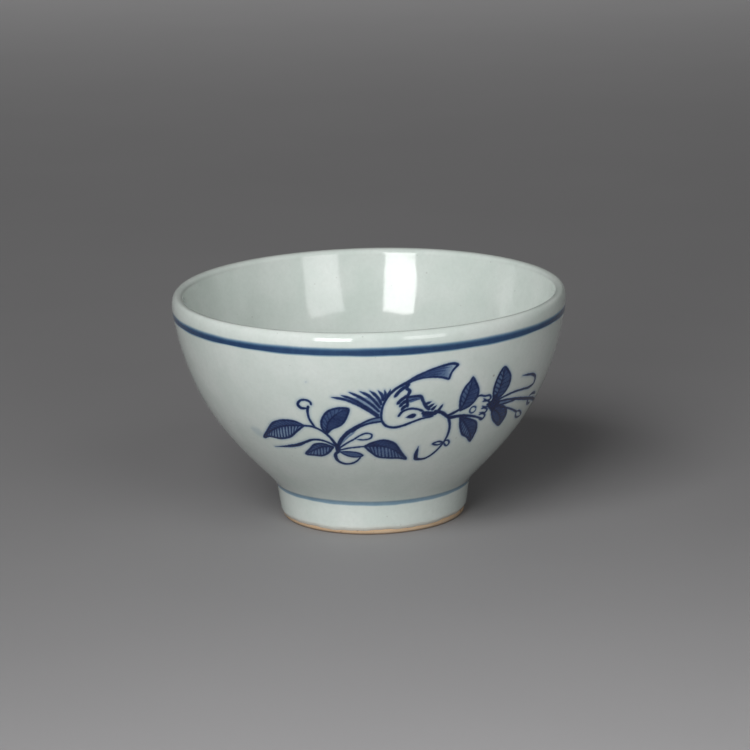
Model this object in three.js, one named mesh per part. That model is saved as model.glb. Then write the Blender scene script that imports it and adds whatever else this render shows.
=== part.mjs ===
// A small footed teacup in glazed stoneware, modelled as the layers that a potter builds it from:
// a thrown clay bowl, a clay foot ring luted under it, and the skins of fired glaze that cover them,
// with two bands of blue-stained glaze, one under the lip and one where the wall meets the foot.
// Millimetres, +Z up. The origin is the centre of the face that the foot rests on.
import * as THREE from 'three';

// ---------------------------------------------------------------- driving dimensions
// Overall sizes of the finished, glazed cup.
const RIM_RADIUS = 45; // widest point of the lip
const CUP_HEIGHT = 52.3; // resting face to the crest of the lip
const FOOT_TOP_RADIUS = 22.3; // where the foot meets the wall
const FOOT_BOTTOM_RADIUS = 21.2; // where the side of the foot would reach the table
const FOOT_HEIGHT = 7.8; // resting face to the corner between foot and wall

// The wall: one smooth sweep from the foot to the lip.
const WALL_START_ANGLE = 54.5; // degrees above level where the wall leaves the foot
const WALL_END_LEAN = 6; // degrees off upright where the wall reaches the lip
const WALL_START_PULL = 0.16; // how far each end's direction holds, as a share of the chord
const WALL_END_PULL = 0.55;

// Thicknesses and the hollow of the cup.
const LIP_THICKNESS = 3; // the lip is a full round of this thickness
const FLOOR_THICKNESS = 5.2; // middle of the cup, from recess to tea, glaze included
const INSIDE_LEAN = 8.3; // degrees off upright where the lip turns into the hollow
const INSIDE_DROP = 0.6; // how long the inside keeps the lip's direction, share of its depth
const INSIDE_SPREAD = 0.6; // how far the level floor spreads, share of the mouth
const GLAZE_THICKNESS = 0.4;

// The foot ring and the recess under the cup.
const RECESS_CEILING_DROP = 2.2; // corner between foot and wall down to the ceiling of the recess
const RECESS_TOP_RADIUS = 16.4;
const RECESS_MOUTH_RADIUS = 17;
const FOOT_EDGE_ROUNDING = 0.45;
const BARE_FOOT_OUTSIDE = 1.1; // height of unglazed clay on the outside of the foot
const BARE_FOOT_INSIDE = 1.3; // and on the inside

// The two blue bands.
const RIM_LINE_DROP = 4.15; // crest of the lip down to the middle of the band
const RIM_LINE_WIDTH = 1.5;
const FOOT_LINE_WIDTH = 1.2;

// Fired layers touch. This hair of space keeps their solids apart.
const CONTACT_GAP = 0.02;

// Fineness of the surfaces.
const SEGMENTS_AROUND = 48;
const WALL_STEPS = 8;
const LIP_STEPS = 6;
const INSIDE_STEPS = 10;
const SMALL_CURVE_STEPS = 3;
const LINE_STEPS = 2;

const CLAY = { color: 0xc3a685, roughness: 0.85, metalness: 0 };
const PALE_GLAZE = { color: 0xc5cdc8, roughness: 0.18, metalness: 0 };
const RIM_BLUE = { color: 0x264064, roughness: 0.2, metalness: 0 };
const FOOT_BLUE = { color: 0x536a78, roughness: 0.2, metalness: 0 };

// ---------------------------------------------------------------- outline helpers
// Outlines are drawn in a plane of [radius, height], anticlockwise, so that the open air is on the
// right. A station is a point of the glazed surface with the direction that faces the air.
const at = (radius, height) => new THREE.Vector2(radius, height);
const facingAir = (tangent) => at(tangent.y, -tangent.x);

function stationOn(curve, t) {
  return { point: curve.getPoint(t), air: facingAir(curve.getTangent(t)) };
}

function stationsAlong(curve, from, to, steps) {
  const stations = [];
  for (let i = 0; i <= steps; i += 1) {
    stations.push(stationOn(curve, from + ((to - from) * i) / steps));
  }
  return stations;
}

// A station on a sharp corner faces between its two sides, and is long enough to serve both.
function cornerStation(point, sideBefore, sideAfter) {
  const before = facingAir(sideBefore.getTangent(1));
  const after = facingAir(sideAfter.getTangent(0));
  const air = before.clone().add(after).divideScalar(1 + before.dot(after));
  return { point, air };
}

// Moves a station towards the air, or into the clay when the distance is negative. A station on
// the cup's axis stays on it.
function shifted(station, distance) {
  const moved = station.point.clone().addScaledVector(station.air, distance);
  if (station.point.x < CONTACT_GAP) moved.x = 0;
  return moved;
}

// Slides a station along its surface.
function slid(station, distance) {
  const along = at(-station.air.y, station.air.x).normalize();
  return { point: station.point.clone().addScaledVector(along, distance), air: station.air };
}

// The parameter at which a rising curve passes a height.
function passesHeight(curve, height) {
  let low = 0;
  let high = 1;
  while (high - low > 1e-9) {
    const middle = (low + high) / 2;
    if (curve.getPoint(middle).y < height) low = middle;
    else high = middle;
  }
  return (low + high) / 2;
}

const radiusAt = (line, height) => {
  const share = (height - line.v1.y) / (line.v2.y - line.v1.y);
  return line.v1.x + (line.v2.x - line.v1.x) * share;
};

// ---------------------------------------------------------------- the glazed surface
const radians = THREE.MathUtils.degToRad;
const lean = radians(WALL_END_LEAN);
const insideLean = radians(INSIDE_LEAN);
const lipRadius = LIP_THICKNESS / 2;
const lipCentre = at(RIM_RADIUS - lipRadius, CUP_HEIGHT - lipRadius);
const recessDepth = FOOT_HEIGHT - RECESS_CEILING_DROP;
const insideFloor = recessDepth + FLOOR_THICKNESS;

// Foot: the recess ceiling, the ring's inner side and its outer side.
const ceiling = new THREE.LineCurve(at(0, recessDepth), at(RECESS_TOP_RADIUS, recessDepth));
const ringInside = new THREE.LineCurve(ceiling.v2, at(RECESS_MOUTH_RADIUS, 0));
const ringOutside = new THREE.LineCurve(
  at(FOOT_BOTTOM_RADIUS, 0),
  at(FOOT_TOP_RADIUS, FOOT_HEIGHT),
);

// Wall: from the foot's top corner to the start of the round lip.
function wallSweep() {
  const start = ringOutside.v2;
  const end = lipCentre.clone().add(at(Math.cos(lean), -Math.sin(lean)).multiplyScalar(lipRadius));
  const chord = start.distanceTo(end);
  const rise = radians(WALL_START_ANGLE);
  const startPull = at(Math.cos(rise), Math.sin(rise)).multiplyScalar(chord * WALL_START_PULL);
  const endPull = at(Math.sin(lean), Math.cos(lean)).multiplyScalar(chord * WALL_END_PULL);
  return new THREE.CubicBezierCurve(start, start.clone().add(startPull), end.clone().sub(endPull), end);
}

// Lip: half a turn over the top.
const lipRound = new THREE.EllipseCurve(
  lipCentre.x,
  lipCentre.y,
  lipRadius,
  lipRadius,
  -lean,
  Math.PI - insideLean,
);

// Inside: from the lip down and round to the middle of the floor.
function insideSweep() {
  const start = lipRound.getPoint(1);
  const drop = (start.y - insideFloor) * INSIDE_DROP;
  return new THREE.CubicBezierCurve(
    start,
    at(start.x - Math.tan(insideLean) * drop, start.y - drop),
    at(start.x * INSIDE_SPREAD, insideFloor),
    at(0, insideFloor),
  );
}

const wall = wallSweep();
const inside = insideSweep();

// ---------------------------------------------------------------- stations of each stretch
const footSideEnd = 1 - FOOT_LINE_WIDTH / 2 / ringOutside.getLength();
const wallStart = FOOT_LINE_WIDTH / 2 / wall.getLength();
const rimLineMiddle = CUP_HEIGHT - RIM_LINE_DROP;
const rimLineBottom = passesHeight(wall, rimLineMiddle - RIM_LINE_WIDTH / 2);
const rimLineTop = passesHeight(wall, rimLineMiddle + RIM_LINE_WIDTH / 2);

const baseStations = [
  ...stationsAlong(ceiling, 0, 1, LINE_STEPS).slice(0, -1),
  cornerStation(ceiling.v2, ceiling, ringInside),
  ...stationsAlong(ringInside, 0, 1 - BARE_FOOT_INSIDE / recessDepth, LINE_STEPS).slice(1),
];
const footStations = stationsAlong(
  ringOutside,
  BARE_FOOT_OUTSIDE / FOOT_HEIGHT,
  footSideEnd,
  LINE_STEPS,
);
const wallStations = stationsAlong(wall, wallStart, rimLineBottom, WALL_STEPS);
const rimLineStations = stationsAlong(wall, rimLineBottom, rimLineTop, LINE_STEPS);
const insideStations = [
  ...stationsAlong(wall, rimLineTop, 1, 1),
  ...stationsAlong(lipRound, 0, 1, LIP_STEPS).slice(1),
  ...stationsAlong(inside, 0, 1, INSIDE_STEPS).slice(1),
];

// The foot line fills the corner between foot and wall with a small hollow curve.
const cornerEase = new THREE.QuadraticBezierCurve(
  footStations.at(-1).point,
  ringOutside.v2,
  wallStations[0].point,
);
const footLineStations = [
  footStations.at(-1),
  ...stationsAlong(cornerEase, 0, 1, SMALL_CURVE_STEPS).slice(1, -1),
  wallStations[0],
];

// ---------------------------------------------------------------- solids
// Turns an outline round the cup's axis. An outline that isn't on the axis closes on itself.
function turned(outline) {
  const onAxis = outline[0].x === 0 && outline.at(-1).x === 0;
  const points = onAxis ? outline : [...outline, outline[0].clone()];
  return new THREE.LatheGeometry(points, SEGMENTS_AROUND).rotateX(Math.PI / 2);
}

// A skin of glaze along some stations, a contact gap short of its neighbours and of the clay.
function glazeSkin(stations) {
  const startsOnAxis = stations[0].point.x === 0;
  const endsOnAxis = stations.at(-1).point.x === 0;
  const trimmed = [...stations];
  if (!startsOnAxis) trimmed[0] = slid(stations[0], CONTACT_GAP / 2);
  if (!endsOnAxis) trimmed[trimmed.length - 1] = slid(stations.at(-1), -CONTACT_GAP / 2);
  const airSide = trimmed.map((station) => shifted(station, 0));
  const claySide = trimmed.map((station) => shifted(station, CONTACT_GAP - GLAZE_THICKNESS));
  claySide.reverse();
  return turned(startsOnAxis ? [...airSide, ...claySide] : [...claySide, ...airSide]);
}

// The clay lies one glaze thickness under the glazed surface.
const clayUnder = (stations) => stations.map((station) => shifted(station, -GLAZE_THICKNESS));

function clayLine(line) {
  const [start, end] = clayUnder([stationOn(line, 0), stationOn(line, 1)]);
  return new THREE.LineCurve(start, end);
}

const clayRingInside = clayLine(ringInside);
const clayRingOutside = clayLine(ringOutside);
const jointHeight = recessDepth + GLAZE_THICKNESS; // flat joint between the bowl and its ring

// The thrown bowl: flat where the ring is luted on, then the wall, the lip and the hollow inside.
function bowl() {
  return turned([
    at(0, jointHeight),
    at(radiusAt(clayRingOutside, jointHeight), jointHeight),
    ...clayUnder(footLineStations),
    ...clayUnder(wallStations).slice(1),
    ...clayUnder(rimLineStations).slice(1),
    ...clayUnder(insideStations).slice(1),
  ]);
}

// The foot ring: a turned ring of clay that stands on a flat band with eased edges.
function footRing() {
  const top = jointHeight - CONTACT_GAP;
  const rounding = FOOT_EDGE_ROUNDING;
  const outerFoot = radiusAt(clayRingOutside, 0);
  const innerFoot = radiusAt(clayRingInside, 0);
  const outerEase = new THREE.QuadraticBezierCurve(
    at(outerFoot - rounding, 0),
    at(outerFoot, 0),
    at(radiusAt(clayRingOutside, rounding), rounding),
  );
  const innerEase = new THREE.QuadraticBezierCurve(
    at(radiusAt(clayRingInside, rounding), rounding),
    at(innerFoot, 0),
    at(innerFoot + rounding, 0),
  );
  return turned([
    ...outerEase.getPoints(SMALL_CURVE_STEPS),
    at(radiusAt(clayRingOutside, top), top),
    at(radiusAt(clayRingInside, top), top),
    ...innerEase.getPoints(SMALL_CURVE_STEPS),
  ]);
}

// ---------------------------------------------------------------- the cup
const cup = new THREE.Group();

function add(name, geometry, finish) {
  const mesh = new THREE.Mesh(geometry, new THREE.MeshStandardMaterial(finish));
  mesh.name = name;
  cup.add(mesh);
}

add('bowl', bowl(), CLAY);
add('foot_ring', footRing(), CLAY);
add('inner_glaze', glazeSkin(insideStations), PALE_GLAZE);
add('rim_line', glazeSkin(rimLineStations), RIM_BLUE);
add('wall_glaze', glazeSkin(wallStations), PALE_GLAZE);
add('foot_line', glazeSkin(footLineStations), FOOT_BLUE);
add('foot_glaze', glazeSkin(footStations), PALE_GLAZE);
add('base_glaze', glazeSkin(baseStations), PALE_GLAZE);

export default cup;
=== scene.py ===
# %% [markdown]
# # A footed teacup, thrown, glazed and brush-painted
# The cup is a thrown clay bowl on a clay foot ring, under a coat of pale grey-green glaze. A painter
# laid two blue bands and a bird on a flowering branch before the glaze went on. Everything is built
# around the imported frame, in the order in which the potter works: the outline, the clay and its
# glaze, the painting, the finishes, and then the table, the lights and the camera.

import math

import bpy
import numpy as np
from mathutils import Matrix, Vector


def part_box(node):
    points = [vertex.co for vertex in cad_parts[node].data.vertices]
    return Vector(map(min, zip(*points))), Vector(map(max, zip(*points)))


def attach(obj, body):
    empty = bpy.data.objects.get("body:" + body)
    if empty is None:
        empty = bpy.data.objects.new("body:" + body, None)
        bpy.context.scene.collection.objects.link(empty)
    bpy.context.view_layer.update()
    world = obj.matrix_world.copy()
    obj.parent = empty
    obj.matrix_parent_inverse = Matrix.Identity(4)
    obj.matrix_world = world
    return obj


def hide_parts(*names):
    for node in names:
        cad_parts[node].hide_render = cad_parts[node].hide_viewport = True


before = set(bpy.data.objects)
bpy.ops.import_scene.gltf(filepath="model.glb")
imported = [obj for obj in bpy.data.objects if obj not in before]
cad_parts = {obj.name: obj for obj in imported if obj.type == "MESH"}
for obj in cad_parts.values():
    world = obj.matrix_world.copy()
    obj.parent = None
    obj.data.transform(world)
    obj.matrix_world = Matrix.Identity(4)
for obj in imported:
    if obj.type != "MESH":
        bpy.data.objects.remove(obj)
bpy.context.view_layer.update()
MM = 0.001

# %% [markdown]
# ## Measures
# Every overall size is read from the frame, so that the fine surfaces land on the CAD ones. What a
# box can't tell, such as how round the lip is or how the wall leaves the foot, is a named value, the
# same as in the CAD source. The work is done in millimetres, and only finished points become metres.


# %% Read the sizes from the frame
def box_mm(node):
    low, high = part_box(node)
    return np.array(low) / MM, np.array(high) / MM


GLAZE = 0.4  # thickness of a skin of glaze
FOOT_BAND_WIDTH = 1.2
rim_radius = box_mm("inner_glaze")[1][0]
crest = box_mm("inner_glaze")[1][2]
inside_floor = box_mm("inner_glaze")[0][2] + GLAZE
recess_ceiling = box_mm("base_glaze")[1][2] - GLAZE
rim_band = (box_mm("rim_line")[0][2], box_mm("rim_line")[1][2])
foot_edge = box_mm("foot_glaze")[0][2]  # how high the bare clay reaches on the outside
recess_edge = box_mm("base_glaze")[0][2]  # and inside the foot ring
joint_height = box_mm("foot_ring")[1][2]
print(f"rim radius {rim_radius:.2f}, crest {crest:.2f}, inside floor {inside_floor:.2f} mm")
print(f"rim band from {rim_band[0]:.2f} to {rim_band[1]:.2f} mm")

# %% [markdown]
# ## The outline
# A pot is its outline turned round an axis. The outline could be a list of points, but a few curves
# say more with less: a straight foot, one sweep for the wall, half a turn for the lip and one sweep
# for the inside. Each stretch gives stations, which are rows of radius, height and the direction
# that faces the air, and a skin of glaze is a run of stations with a thickness.

# %% Shape values
FOOT_TOP = np.array([22.3, 7.8])
FOOT_BOTTOM = np.array([21.2, 0.0])
RECESS_TOP_RADIUS = 16.4
RECESS_MOUTH_RADIUS = 17.0
LIP_THICKNESS = 3.0
LIP_FLARE = 0.08  # the wall runs this much wider than an even round lip would let it
CREST_RADIUS = 43.68  # where the lip is highest
LIP_PULLS = (2.0, 0.82, 1.0, 0.9)  # mm that each end of the two lip curves holds its direction
WALL_START_ANGLE = math.radians(54.5)
WALL_END_LEAN = math.radians(6)
INSIDE_LEAN = math.radians(8.3)  # the wall thickens downwards, so its inside leans more
WALL_PULLS = (0.16, 0.55)  # how far each end's direction holds, in chords
INSIDE_DROP = 0.6
INSIDE_SPREAD = 0.6
FINE_STEP = 0.3  # mm between stations on a small curve
WALL_STEP = 0.17  # mm between stations where there is painting


# %% Curves of the outline
def bezier(controls):
    """A curve through its end controls, of as many degrees as there are controls less one."""
    controls = np.array(controls, float)
    degree = len(controls) - 1
    weights = [math.comb(degree, i) for i in range(degree + 1)]

    def point(t):
        t = np.asarray(t, float)[:, None]
        return sum(w * t**i * (1 - t) ** (degree - i) * c for i, (w, c) in enumerate(zip(weights, controls)))

    return point


def stations(curve, t_values):
    """Rows of radius, height, and the direction towards the air, which lies on the curve's right."""
    small = 1e-4
    t = np.asarray(t_values, float)
    ahead, behind = curve(np.minimum(t + small, 1)), curve(np.maximum(t - small, 0))
    along = (ahead - behind) / np.linalg.norm(ahead - behind, axis=1)[:, None]
    return np.column_stack([curve(t), along[:, 1], -along[:, 0]])


def length(curve):
    points = curve(np.linspace(0, 1, 400))
    return np.linalg.norm(np.diff(points, axis=0), axis=1).sum()


def spread_evenly(curve, t_from, t_to, step):
    """Parameter values that lie about one step apart along the curve."""
    t = np.linspace(t_from, t_to, 800)
    gone = np.concatenate([[0], np.cumsum(np.linalg.norm(np.diff(curve(t), axis=0), axis=1))])
    count = max(2, round(gone[-1] / step) + 1)
    return np.interp(np.linspace(0, gone[-1], count), gone, t)


def passes_height(curve, height):
    t = np.linspace(0, 1, 4000)
    return float(np.interp(height, curve(t)[:, 1], t))


# %% The stretches of the glazed surface
lip_radius = LIP_THICKNESS / 2
lip_centre = np.array([rim_radius - lip_radius + LIP_FLARE, crest - lip_radius])
lean_out = np.array([math.cos(WALL_END_LEAN), -math.sin(WALL_END_LEAN)])
lean_up = np.array([math.sin(WALL_END_LEAN), math.cos(WALL_END_LEAN)])
wall_end = lip_centre + lip_radius * lean_out
chord = np.linalg.norm(wall_end - FOOT_TOP)
rise = np.array([math.cos(WALL_START_ANGLE), math.sin(WALL_START_ANGLE)])
wall = bezier([
    FOOT_TOP,
    FOOT_TOP + rise * chord * WALL_PULLS[0],
    wall_end - lean_up * chord * WALL_PULLS[1],
    wall_end,
])
inside_start = lip_centre - lip_radius * np.array([math.cos(INSIDE_LEAN), -math.sin(INSIDE_LEAN)])
drop = (inside_start[1] - inside_floor) * INSIDE_DROP
inside = bezier([
    inside_start,
    inside_start - drop * np.array([math.tan(INSIDE_LEAN), 1]),
    [inside_start[0] * INSIDE_SPREAD, inside_floor],
    [0, inside_floor],
])
foot_side = bezier([FOOT_BOTTOM, FOOT_TOP])
ceiling = bezier([[0, recess_ceiling], [RECESS_TOP_RADIUS, recess_ceiling]])
ring_inside = bezier([[RECESS_TOP_RADIUS, recess_ceiling], [RECESS_MOUTH_RADIUS, 0]])

foot_band_t = 1 - FOOT_BAND_WIDTH / 2 / length(foot_side)
wall_t = FOOT_BAND_WIDTH / 2 / length(wall)
band_t = [passes_height(wall, height) for height in rim_band]

# The lip is flatter outside than inside, so it is two curves that meet level at the crest.
lip_foot, lip_rise = stations(wall, [band_t[1]])[0, :2], stations(wall, [band_t[1]])[0, 2:]
lip_top = np.array([CREST_RADIUS, crest])
lip_outer = bezier([
    lip_foot,
    lip_foot + LIP_PULLS[0] * np.array([-lip_rise[1], lip_rise[0]]),
    lip_top + [LIP_PULLS[1], 0],
    lip_top,
])
lip_inner = bezier([
    lip_top,
    lip_top - [LIP_PULLS[2], 0],
    inside_start + LIP_PULLS[3] * np.array([math.tan(INSIDE_LEAN), 1]),
    inside_start,
])
foot_band_ends = (foot_side([foot_band_t])[0], wall([wall_t])[0])
corner = bezier([foot_band_ends[0], FOOT_TOP, foot_band_ends[1]])
print(f"wall sweep {length(wall):.1f} mm long, inside sweep {length(inside):.1f} mm long")

# %% [markdown]
# ## Turning an outline into a skin
# Blender's Screw and Spin tools turn an outline evenly. Here the side that carries the painting needs
# many more columns than the back, and the clay has to be a little uneven, as thrown clay is, so the
# mesh is built directly: rows of stations by columns of angles. Angle 0 is the painted front and
# angles grow towards +X. Every skin is one closed shell, with an air side, a clay side and edges.

# %% Columns round the cup
PAINT_RADIUS = 42.6  # the painting is measured in mm round a circle of this radius
PAINT_SPAN = (-34.0, 74.0)  # mm to the left and right of the front
PAINT_LOW, PAINT_HIGH = 18.5, 45.5  # heights between which there is painting
COLUMN_STEP = 0.17
PLAIN_COLUMN = math.radians(1.0)


def column_angles(fine=False):
    """Angles once round the cup, close together over the painting when fine is true."""
    if not fine:
        return np.arange(0, 2 * math.pi - 1e-9, PLAIN_COLUMN)
    start, end = (edge / PAINT_RADIUS for edge in PAINT_SPAN)
    painted = np.linspace(start, end, round((PAINT_SPAN[1] - PAINT_SPAN[0]) / COLUMN_STEP))
    plain = np.linspace(end, start + 2 * math.pi, round((start + 2 * math.pi - end) / PLAIN_COLUMN) + 1)
    return np.concatenate([painted, plain[1:-1]])


# %% The hand in the clay
def unevenness(angle, height):
    """How far thrown clay strays from a true circle, in mm: slow swells, none where it stands."""
    swell = 0.05 * np.sin(2 * angle + 0.7) + 0.03 * np.sin(3 * angle - 1.1 + height / 30)
    ripple = 0.018 * np.sin(5 * angle + height / 9) + 0.015 * np.sin(height / 2.9 + 2 * np.sin(angle))
    return (swell + ripple) * np.clip(height / 3, 0, 1)


# %% Turn rows into a closed mesh
BACK_SHARE = 0.3  # how much map width a coarse column gets, next to a fine one


def map_places(angles):
    """Where each column starts on the bake map, from 0 to 1, with more room for fine columns."""
    steps = np.diff(np.append(angles, angles[0] + 2 * math.pi))
    shares = np.where(steps > 2 * steps.min(), BACK_SHARE, 1.0)
    return np.append(0, np.cumsum(shares)) / shares.sum()


def turn(name, rows, angles, off=0.0, along=0.0):
    """Turns a closed loop of stations into a mesh.

    off and along move every point off its surface and along it, in mm, rows by columns.
    """
    row_count, column_count = len(rows), len(angles)
    on_axis = rows[:, 0] < 1e-6
    off = off + unevenness(angles[None, :], rows[:, 1:2])
    off[on_axis] = off[on_axis].mean(axis=1, keepdims=True)
    radius = rows[:, 0:1] + rows[:, 2:3] * off - rows[:, 3:4] * along
    radius[on_axis] = 0
    height = rows[:, 1:2] + rows[:, 3:4] * off + rows[:, 2:3] * along
    points = np.stack([radius * np.sin(angles), -radius * np.cos(angles), height], 2)
    counts = np.where(on_axis, 1, column_count)
    firsts = np.cumsum(counts) - counts
    used = np.concatenate([points[row, : counts[row]] for row in range(row_count)])

    column = np.arange(column_count)
    faces, spots = [], []
    for row in range(row_count):
        after = (row + 1) % row_count
        corners = [(row, 0), (row, 1), (row + 1, 1), (row + 1, 0)]
        if on_axis[row] and on_axis[after]:
            continue
        if on_axis[row]:
            corners.remove((row, 1))
        elif on_axis[after]:
            corners.remove((row + 1, 1))
        index, spot = [], []
        for at_row, step in corners:
            real = at_row % row_count
            index.append(firsts[real] + (column + step) % counts[real] * (not on_axis[real]))
            spot.append((column + step, np.full(column_count, at_row)))
        faces.extend(np.stack(index, 1).tolist())
        spots.append(np.array(spot).transpose(2, 0, 1).reshape(-1, 2))
    mesh = bpy.data.meshes.new(name)
    mesh.from_pydata(used * MM, [], faces)
    spots = np.concatenate(spots)
    across = map_places(angles)[spots[:, 0]]
    flat_map = np.column_stack([across, spots[:, 1] / row_count])
    mesh.uv_layers.new(name="OFBake").uv.foreach_set("vector", flat_map.ravel().astype(np.float32))
    mesh.shade_smooth()
    mesh.set_sharp_from_angle(angle=math.radians(50))
    piece = bpy.data.objects.new(name, mesh)
    bpy.context.scene.collection.objects.link(piece)
    print(f"{name}: {len(mesh.vertices)} points")
    return piece


def glaze_shell(name, air_rows, angles, lift=0.0, slide=0.0):
    """A skin of glaze: its air side, and a coarser clay side one glaze thickness under it."""
    every = 8
    kept = np.unique(np.r_[0 : len(air_rows) : every, len(air_rows) - 1])[::-1]
    flat = np.zeros((len(air_rows), len(angles)))
    lift, slide = flat + lift, flat + slide
    rows = np.vstack([air_rows, air_rows[kept]])
    off = np.vstack([lift, flat[kept] - GLAZE])
    return turn(name, rows, angles, off, np.vstack([slide, slide[kept]]))


def places(piece):
    """The angle, height and radius of every point of a piece, in radians and mm."""
    points = np.zeros(len(piece.data.vertices) * 3)
    piece.data.vertices.foreach_get("co", points)
    x, y, z = points.reshape(-1, 3).T / MM
    return np.arctan2(x, -y), z, np.hypot(x, y)


def keep_on_points(piece, name, values):
    """Stores one number for each point, for the material to read."""
    layer = piece.data.attributes.new(name, "FLOAT", "POINT")
    layer.data.foreach_set("value", np.asarray(values, np.float32))


# %% [markdown]
# ## The clay
# The bowl shows nowhere, because the glaze covers it, but it is built like the rest, so that the
# skins have their true thickness on something real. The foot ring shows its bare edge where the
# cup stands. Its corners are eased, as a turner leaves them, because a sharp bare edge chips.

# %% The foot ring
FOOT_EASE = 0.45  # mm cut back at each bare corner
CLAY_GAP = 0.02  # mm between the bowl and what touches it
RING_STEP = 0.2


def under_glaze(rows, extra=0.0):
    moved = rows.copy()
    moved[:, :2] -= rows[:, 2:] * (GLAZE + extra)
    moved[rows[:, 0] < 1e-6, 0] = 0
    return moved


def line_at(rows, height):
    """The point at a height on the straight line through the first and last rows."""
    (r0, z0), (r1, z1) = rows[0, :2], rows[-1, :2]
    return np.array([r0 + (r1 - r0) * (height - z0) / (z1 - z0), height])


outer_line = under_glaze(stations(foot_side, [0, 1]))
inner_line = under_glaze(stations(ring_inside, [0, 1]))
outer_bottom, inner_bottom = line_at(outer_line, 0), line_at(inner_line, 0)
ease_in, ease_out = np.array([FOOT_EASE, 0]), np.array([-FOOT_EASE, 0])
ring_stretches = [
    bezier([outer_bottom + ease_out, outer_bottom, line_at(outer_line, FOOT_EASE)]),
    bezier([line_at(outer_line, FOOT_EASE), line_at(outer_line, joint_height)]),
    bezier([line_at(outer_line, joint_height), line_at(inner_line, joint_height)]),
    bezier([line_at(inner_line, joint_height), line_at(inner_line, FOOT_EASE)]),
    bezier([line_at(inner_line, FOOT_EASE), inner_bottom, inner_bottom + ease_in]),
    bezier([inner_bottom + ease_in, outer_bottom + ease_out]),
]
ring_rows = np.vstack([
    stations(curve, spread_evenly(curve, 0, 1, RING_STEP)[:-1]) for curve in ring_stretches
])
foot_ring = turn("turned_foot_ring", ring_rows, column_angles())

# %% The bowl
BOWL_STEP = 1.0
bowl_curves = [
    (corner, 0, 1), (wall, wall_t, band_t[1]), (lip_outer, 0, 1), (lip_inner, 0, 1), (inside, 0, 1),
]
bowl_rows = np.vstack([
    stations(curve, spread_evenly(curve, start, end, BOWL_STEP)[1:]) for curve, start, end in bowl_curves
])
bowl_rows = under_glaze(bowl_rows, CLAY_GAP)
stub = line_at(outer_line, joint_height + CLAY_GAP)
underside = np.array([[0, stub[1], 0, -1], [stub[0] - CLAY_GAP, stub[1], 0, -1]])
bowl = turn("thrown_bowl", np.vstack([underside, bowl_rows]), column_angles())

# %% [markdown]
# ## The glaze
# Each skin is a run of stations. The glaze stops short of the resting edge in a ragged line, where
# the potter wiped it back, and it thins to nothing there. The stations at the ends of neighbours
# are the same, so no seam opens between them.

# %% How the glaze ends on the foot
WIPED_BACK = 0.28  # mm by which the wiped line wanders
FADE = 1.0  # mm over which the glaze thins towards its edge
FADE_POWER = 1.6  # above 1, most of the thinning is close to the edge
THINNEST = 0.04  # mm of glaze left at the very edge


def ragged(angle):
    """How far the wiped line lies above its middle height, in mm. It is higher at the right front."""
    slow = np.sin(angle - 0.35)
    quick = 0.35 * np.sin(7 * angle + 1) + 0.25 * np.sin(16 * angle) + 0.16 * np.sin(37 * angle + 2)
    return WIPED_BACK * (slow + quick)


def thinned(rows, at_start):
    """How far the glaze sinks towards its end, and how far each row is from that end, in mm."""
    end = rows[0] if at_start else rows[-1]
    away = np.linalg.norm(rows[:, :2] - end[:2], axis=1)
    share = np.clip(away / FADE, 0, 1)
    return -(GLAZE - THINNEST) * ((1 - share) ** FADE_POWER)[:, None], away


# %% The skins
PLAIN_STEP = 0.6  # mm between stations where nothing fine happens
BAND_STEP = 0.1
LIP_STEP = 0.12
CORNER_STEP = 0.08
FOOT_STEP = 0.15
RECESS_CORNER = (0.93, 0.18)  # where the eased corner leaves the ceiling and meets the ring
coarse, painted_columns = column_angles(), column_angles(fine=True)
low_t, high_t = (passes_height(wall, height) for height in (PAINT_LOW, PAINT_HIGH))
wall_rows = stations(wall, np.concatenate([
    spread_evenly(wall, wall_t, low_t, PLAIN_STEP)[:-1],
    spread_evenly(wall, low_t, high_t, WALL_STEP)[:-1],
    spread_evenly(wall, high_t, band_t[0], FINE_STEP),
]))
band_rows = stations(wall, spread_evenly(wall, band_t[0], band_t[1], BAND_STEP))
lip_rows = np.vstack([
    stations(lip_outer, spread_evenly(lip_outer, 0, 1, LIP_STEP))[:-1],
    stations(lip_inner, spread_evenly(lip_inner, 0, 1, LIP_STEP))[:-1],
    stations(inside, spread_evenly(inside, 0, 0.999, PLAIN_STEP)),
    stations(inside, [1]),
])
foot_start = foot_edge / FOOT_TOP[1]
foot_rows = stations(foot_side, spread_evenly(foot_side, foot_start, foot_band_t, FOOT_STEP))
corner_rows = stations(corner, spread_evenly(corner, 0, 1, CORNER_STEP))
corner_rows[0], corner_rows[-1] = foot_rows[-1], wall_rows[0]
recess_t = 1 - recess_edge / recess_ceiling
inner_corner = bezier([
    ceiling([RECESS_CORNER[0]])[0], ceiling([1])[0], ring_inside([RECESS_CORNER[1]])[0],
])
base_rows = np.vstack([
    stations(ceiling, [0]),
    stations(ceiling, spread_evenly(ceiling, 0.02, RECESS_CORNER[0], 0.5)[:-1]),
    stations(inner_corner, spread_evenly(inner_corner, 0, 1, FOOT_STEP)[:-1]),
    stations(ring_inside, spread_evenly(ring_inside, RECESS_CORNER[1], recess_t, RING_STEP)),
])

wipe = ragged(coarse)[None, :]
foot_sink, foot_away = thinned(foot_rows, at_start=True)
base_sink, base_away = thinned(base_rows, at_start=False)
foot_slide = wipe * np.clip(1 - foot_away / 4, 0, 1)[:, None]
base_slide = -wipe * np.clip(1 - base_away / 2, 0, 1)[:, None]

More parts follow.
